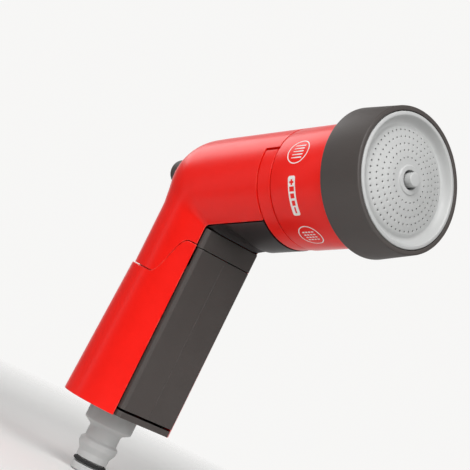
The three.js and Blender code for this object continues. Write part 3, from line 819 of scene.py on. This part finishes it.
def spray_ring(bm, radius, holes):
    """One ring of cells with a well in each; gives back its outer and inner edge loops."""
    outer = ring_of(bm, radius + CELL, dome(radius + CELL), holes * 2)
    inner = ring_of(bm, radius - CELL, dome(radius - CELL), holes * 2)
    spokes = [bm.verts.new((radius * math.cos(a), radius * math.sin(a), dome(radius)))
              for a in (2 * math.pi * (k * 2) / (holes * 2) for k in range(holes))]
    for k in range(holes):
        a = 2 * math.pi * (k * 2 + 1) / (holes * 2)
        c = Vector((radius * math.cos(a), radius * math.sin(a), 0))
        out, side = Vector((math.cos(a), math.sin(a), 0)), Vector((-math.sin(a), math.cos(a), 0))
        i, j, n = 2 * k, 2 * k + 1, (2 * k + 2) % (2 * holes)
        frame_ring = [outer[j], outer[n], spokes[(k + 1) % holes], inner[n], inner[j], inner[i], spokes[k], outer[i]]
        loops = [frame_ring]
        for size, drop in ((HOLE_R + 0.12, 0.0), (HOLE_R, 0.08), (HOLE_R, HOLE_DEPTH)):
            loop = []
            for m in range(8):
                b = -2 * math.pi * m / 8
                p = c + out * (math.cos(b) * size) - side * (math.sin(b) * size)
                r = p.xy.length
                loop.append(bm.verts.new((p.x, p.y, dome(r) - drop)))
            loops.append(loop)
        for low, high in zip(loops, loops[1:]):
            for m in range(8):
                bm.faces.new([low[m], low[(m + 1) % 8], high[(m + 1) % 8], high[m]])
        bm.faces.new(loops[-1])
    return outer, inner


def rose():
    bm = bmesh.new()
    edge = rounded([(22.6, 94.8, 0), (FACE_R, 94.8, 0.3), (FACE_R, FRONT_T, 0.4), (24.4, FRONT_T + 0.3, 0.5),
                    (24.0, 99.7, 0.5), (23.2, 97.7, 1.0), (22.2, 96.7, 0.9), (21.2, 96.8, 0.6),
                    (20.6, 97.45, 0)], closed=False)
    last = None
    for r, h in edge:
        ring = ring_of(bm, r, h, 144)
        if last:
            join(bm, last, ring)
        last = ring
    for radius, holes in RINGS:
        outer, inner = spray_ring(bm, radius, holes)
        join(bm, last, outer)
        last = inner
    boss = rounded([(7.2, FRONT_T, 0), (5.8, FRONT_T, 0.15), (5.5, 100.8, 0.2), (3.8, 100.8, 0.2), (3.8, 97.6, 0.2),
                    (12, 97, 0.2), (20, 95.2, 0.2), (22.6, 94.8, 0)], closed=False)
    for r, h in boss[:-1]:
        ring = ring_of(bm, r, h, 96)
        join(bm, last, ring)
        last = ring
    first = [v for v in bm.verts if abs(v.co.z - 94.8) < 1e-6 and abs(v.co.xy.length - 22.6) < 1e-4]
    join(bm, last, sorted(first, key=lambda v: math.atan2(v.co.y, v.co.x) % (2 * math.pi)))
    bmesh.ops.recalc_face_normals(bm, faces=bm.faces)
    bm.transform(BARREL @ Matrix.Scale(MM, 4))
    mesh = bpy.data.meshes.new("rose_pale")
    bm.to_mesh(mesh)
    bm.free()
    smooth(mesh)
    return mesh


rose_piece = place("rose_pale", rose(), "spray_head", "rose_plate")
print("rose:", sum(n for _, n in RINGS), "holes,", len(rose_piece.data.polygons), "faces")

# %% Jet pin
JET_R, JET_TIP = 2.8, FRONT_T + 3.1
pin = rounded([(0, 86.4), (5, 86.4), (5, 87.8), (JET_R, 88.4), (JET_R, JET_TIP, 0.5), (0, JET_TIP)], steps=4)
place("jet_pin_pale", lathe("jet_pin_pale", pin, BARREL, 64, closed=False), "jet", "jet_pin")

# %% [markdown]
# ## Printed marks
# The collar carries three plain pictograms in pale ink: lines for a flat spray, rows of dashes for a
# shower, and a bar from plus to minus between them for the flow. Pad printing lays a thin even film, so
# each mark is a thin outline drawn flat, cut into narrow strips so that it can bend, and laid on the round.

# %% Ink shapes laid on the collar
INK_PROUD, INK_FILM = 0.02, 0.05


def lay_on_collar(name, polygons):
    """Polygons of (t, arc) in mm, arc from the collar's side (-Y) upwards, as a film on the collar."""
    bm = bmesh.new()
    for polygon in polygons:
        bm.faces.new([bm.verts.new((t, s, 0)) for t, s in polygon])
    for s in np.arange(-60, 60, 0.6):
        geometry = bm.verts[:] + bm.edges[:] + bm.faces[:]
        bmesh.ops.bisect_plane(bm, geom=geometry, plane_co=(0, s, 0), plane_no=(0, 1, 0), dist=1e-5)
    bmesh.ops.remove_doubles(bm, verts=bm.verts, dist=1e-4)
    bmesh.ops.recalc_face_normals(bm, faces=bm.faces)
    faces = bm.faces[:]
    made = bmesh.ops.extrude_face_region(bm, geom=faces)["geom"]
    for v in made:
        if isinstance(v, bmesh.types.BMVert):
            v.co.z = INK_FILM
    bmesh.ops.reverse_faces(bm, faces=faces)
    for v in bm.verts:
        turn = math.pi / 2 + v.co.y / BARREL_R
        r = BARREL_R + INK_PROUD - 0.04 + v.co.z
        v.co = BARREL @ (Vector((r * math.cos(turn), -r * math.sin(turn), v.co.x)) * MM)
    bmesh.ops.recalc_face_normals(bm, faces=bm.faces)
    mesh = bpy.data.meshes.new(name)
    bm.to_mesh(mesh)
    bm.free()
    mark = bpy.data.objects.new(name, mesh)
    bpy.context.scene.collection.objects.link(mark)
    mesh.materials.append(INK)
    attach(mark, "spray_head")
    return mark


def circle_line(t, s, r, width, steps=64):
    turns = [2 * math.pi * k / steps for k in range(steps + 1)]
    edge = lambda a, q: (t + q * math.cos(a), s + q * math.sin(a))
    return [[edge(a, r), edge(b, r), edge(b, r - width), edge(a, r - width)] for a, b in zip(turns, turns[1:])]


def bar(t0, t1, s0, s1):
    return [(t0, s0), (t1, s0), (t1, s1), (t0, s1)]


# %% Flat spray and shower marks
MARK_T, MARK_R, LINE = 62.9, 5.35, 0.42


def flat_spray_mark(s):
    shapes = circle_line(MARK_T, s, MARK_R, LINE)
    for k in range(-2, 3):
        mid, thin, thick = s + 1.38 * k, 0.13, 0.3
        shapes.append([(MARK_T - 2.6, mid - thin), (MARK_T + 2.6, mid - thick),
                       (MARK_T + 2.8, mid), (MARK_T + 2.6, mid + thick), (MARK_T - 2.6, mid + thin)])
    return lay_on_collar("mark_flat_spray", shapes)


def shower_mark(s):
    shapes = circle_line(MARK_T, s, MARK_R, LINE)
    for row in range(4):
        mid = s + 1.45 * (row - 1.5)
        for dash in range(4):
            t = MARK_T + 1.55 * (dash - 1.5)
            shapes.append(bar(t - 0.53, t + 0.53, mid - 0.3, mid + 0.3))
    return lay_on_collar("mark_shower", shapes)


flat_spray_mark(4.75)
shower_mark(-31.0)


# %% Flow bar, from plus to minus
def flow_mark():
    t, top, bottom, half = 62.5, -5.35, -20.85, 1.85
    cut_outs = [(-9.45, -11.35, 1.25), (-12.1, -14.0, 1.05), (-14.85, -16.85, 0.85), (-17.4, -19.9, 0.42)]
    shapes, turns = [], [math.pi / 2 * k / 5 for k in range(6)]
    r = 0.9
    for end, sign in ((top, 1), (bottom, -1)):
        mid = end - sign * r
        shapes.append([(t + (half - r) + r * math.sin(a), mid + sign * r * math.cos(a)) for a in turns]
                      + [(t - (half - r) - r * math.sin(a), mid + sign * r * math.cos(a)) for a in turns[::-1]])
    level = top - r
    arm, thick = 1.15, 0.44
    plus = top - 2.45
    shapes.append(bar(t - half, t + half, plus + arm, level))
    for side in (-1, 1):
        shapes.append(bar(t + side * thick, t + side * half, plus + thick, plus + arm))
        shapes.append(bar(t + side * arm, t + side * half, plus - thick, plus + thick))
        shapes.append(bar(t + side * thick, t + side * half, plus - arm, plus - thick))
    level = plus - arm
    for high, low, gap in cut_outs:
        shapes.append(bar(t - half, t + half, high, level))
        for side in (-1, 1):
            shapes.append(bar(t + side * gap, t + side * half, low, high))
        level = low
    shapes.append(bar(t - half, t + half, bottom + r, level))
    return lay_on_collar("mark_flow", shapes)


flow_mark()
print("marks printed")

# %% [markdown]
# ## Hose end
# Below the grip a cap closes the shell with two screws, and the nipple for the push-on hose connector
# comes out of it, with its O-ring and a strainer in its mouth.

# %% Cap, screws, nipple, O-ring and strainer
refined("bottom_cap_charcoal", "bottom_cap", "gun_body", width=0.35)
for side in ("left", "right"):
    refined(f"cap_screw_{side}_steel", f"cap_screw_{side}", "gun_body", width=0.12, segments=2)
refined("strainer_natural", "inlet_strainer", "gun_body", width=0.12, segments=2)
nipple = rounded([(5, 0), (6.2, 0, 0.2), (6.8, 0.6, 0.2), (6.8, 3.2, 0.2), (5.7, 3.2, 0.1), (5.7, 5.8, 0.1),
                  (6.8, 5.8, 0.2), (6.8, 8.6), (8.3, 11.4, 0.5), (8.3, 13.6, 0.3), (7, 14.6), (7, 19.4, 0.6),
                  (10.4, 21.4, 0.6), (10.4, 27.7), (9, 27.7), (9, 30.6), (6.8, 31.4), (6.8, 36), (5, 36)])
place("nipple_pale", lathe("nipple_pale", nipple, UPRIGHT, 96), "gun_body", "inlet_nipple")


def o_ring(name, node, r, wire, t, matrix):
    turns = [2 * math.pi * k / 20 for k in range(20)]
    profile = [(r + wire * math.cos(a), t + wire * math.sin(a)) for a in turns]
    return place(name, lathe(name, profile, matrix, 96), "gun_body", node)


o_ring("inlet_o_ring_rubber", "inlet_o_ring", 6.5, 0.75, 4.5, UPRIGHT)

# %% [markdown]
# ## Waterway and springs
# Everything inside keeps its CAD solid, because its shape is already right. Each gets its finish, and a
# weld and an edge split make the facets shade as turned and drawn surfaces.

# %% Inner pieces
def dress(node):
    piece = frame["nodes"][node]
    piece.data.materials.clear()
    piece.data.materials.append(BY_SLOT[SLOT_OF[node]])
    piece.data.polygons.foreach_set("use_smooth", [True] * len(piece.data.polygons))
    weld = piece.modifiers.new("weld", "WELD")
    weld.merge_threshold = 0.002 * MM
    split = piece.modifiers.new("split", "EDGE_SPLIT")
    split.split_angle = math.radians(32)


inner_nodes = [n for n, o in frame["nodes"].items() if not o.hide_render]
for node in inner_nodes:
    dress(node)
print("inner pieces:", len(inner_nodes))

# %% [markdown]
# ## Stage and light
# A plain pale floor carries the wand's soft shadow, and fades out before it meets the pale surroundings,
# so there is no horizon. A broad light from above and behind gives the long highlights, a large front
# light opens the face, and a low strip puts the pale reflection along the undersides.

# %% Floor
def floor_material(radius):
    material = bpy.data.materials.new("floor")
    material.use_nodes = True
    tree = material.node_tree
    shader = tree.nodes["Principled BSDF"]
    place_at = add(tree, "ShaderNodeTexCoord")
    distance = add(tree, "ShaderNodeVectorMath", operation="LENGTH", inputs={0: (place_at, "Object")})
    fade = remap(tree, (distance, "Value"), radius * 0.45, radius * 0.98, 1.0, 0.0)
    tree.links.new(fade.outputs[0], shader.inputs["Alpha"])
    mottle = add(tree, "ShaderNodeTexNoise", inputs={"Vector": (place_at, "Object"), "Scale": 12.0, "Detail": 4.0})
    tone = add(tree, "ShaderNodeMix", data_type="RGBA",
               inputs={0: (mottle, "Fac"), 6: (0.80, 0.80, 0.79, 1), 7: (0.84, 0.84, 0.83, 1)})
    tree.links.new(tone.outputs[2], shader.inputs["Base Color"])
    shader.inputs["Roughness"].default_value = 0.7
    return material


FLOOR_R = 0.42
bm = bmesh.new()
bmesh.ops.create_circle(bm, cap_ends=True, segments=96, radius=FLOOR_R)
mesh = bpy.data.meshes.new("floor")
bm.to_mesh(mesh)
bm.free()
floor = bpy.data.objects.new("floor", mesh)
floor.location = (0.03, 0, CAD_BOX[0].z - 0.0002)
mesh.materials.append(floor_material(FLOOR_R))
bpy.context.scene.collection.objects.link(floor)


# %% Surroundings and lamps
def surroundings(seen, backdrop, room):
    """A pale world for the camera; the light it gives comes mostly from the backdrop, less from the room."""
    world = bpy.data.worlds.new("studio")
    bpy.context.scene.world = world
    world.use_nodes = True
    tree = world.node_tree
    background = tree.nodes["Background"]
    path = add(tree, "ShaderNodeLightPath")
    around = add(tree, "ShaderNodeTexCoord")
    towards = add(tree, "ShaderNodeVectorMath", operation="DOT_PRODUCT",
                  inputs={0: (around, "Generated"), 1: -BACKWARD})
    lobe = remap(tree, (towards, "Value"), 0.85, 0.98, room, backdrop)
    strength = add(tree, "ShaderNodeMix", data_type="FLOAT", inputs={0: (path, "Is Camera Ray"), 2: (lobe, 0), 3: seen})
    background.inputs["Color"].default_value = (1.0, 0.995, 0.985, 1)
    tree.links.new(strength.outputs[0], background.inputs["Strength"])


def lamp(name, spot, target, size, power, colour=(1, 1, 1)):
    data = bpy.data.lights.new(name, "AREA")
    data.shape, data.size, data.size_y, data.energy, data.color = "RECTANGLE", size[0], size[1], power, colour
    light = bpy.data.objects.new(name, data)
    light.location = spot
    light.rotation_euler = (Vector(spot) - Vector(target)).to_track_quat("Z", "Y").to_euler()
    bpy.context.scene.collection.objects.link(light)
    return light


AIM = (0.04, 0.0, 0.11)
surroundings(seen=0.93, backdrop=0.95, room=0.15)
lamp("key", (0.30, -0.65, 0.68), AIM, (0.6, 0.6), 7.0)
lamp("behind", (-0.80, -0.08, 0.50), AIM, (0.5, 0.4), 1.5)
lamp("face", (0.62, 0.02, 0.42), AIM, (0.45, 0.45), 2.2)
lamp("side_strip", (-0.55, -0.60, 0.14), AIM, (0.15, 0.6), 0.22)
print("lit")
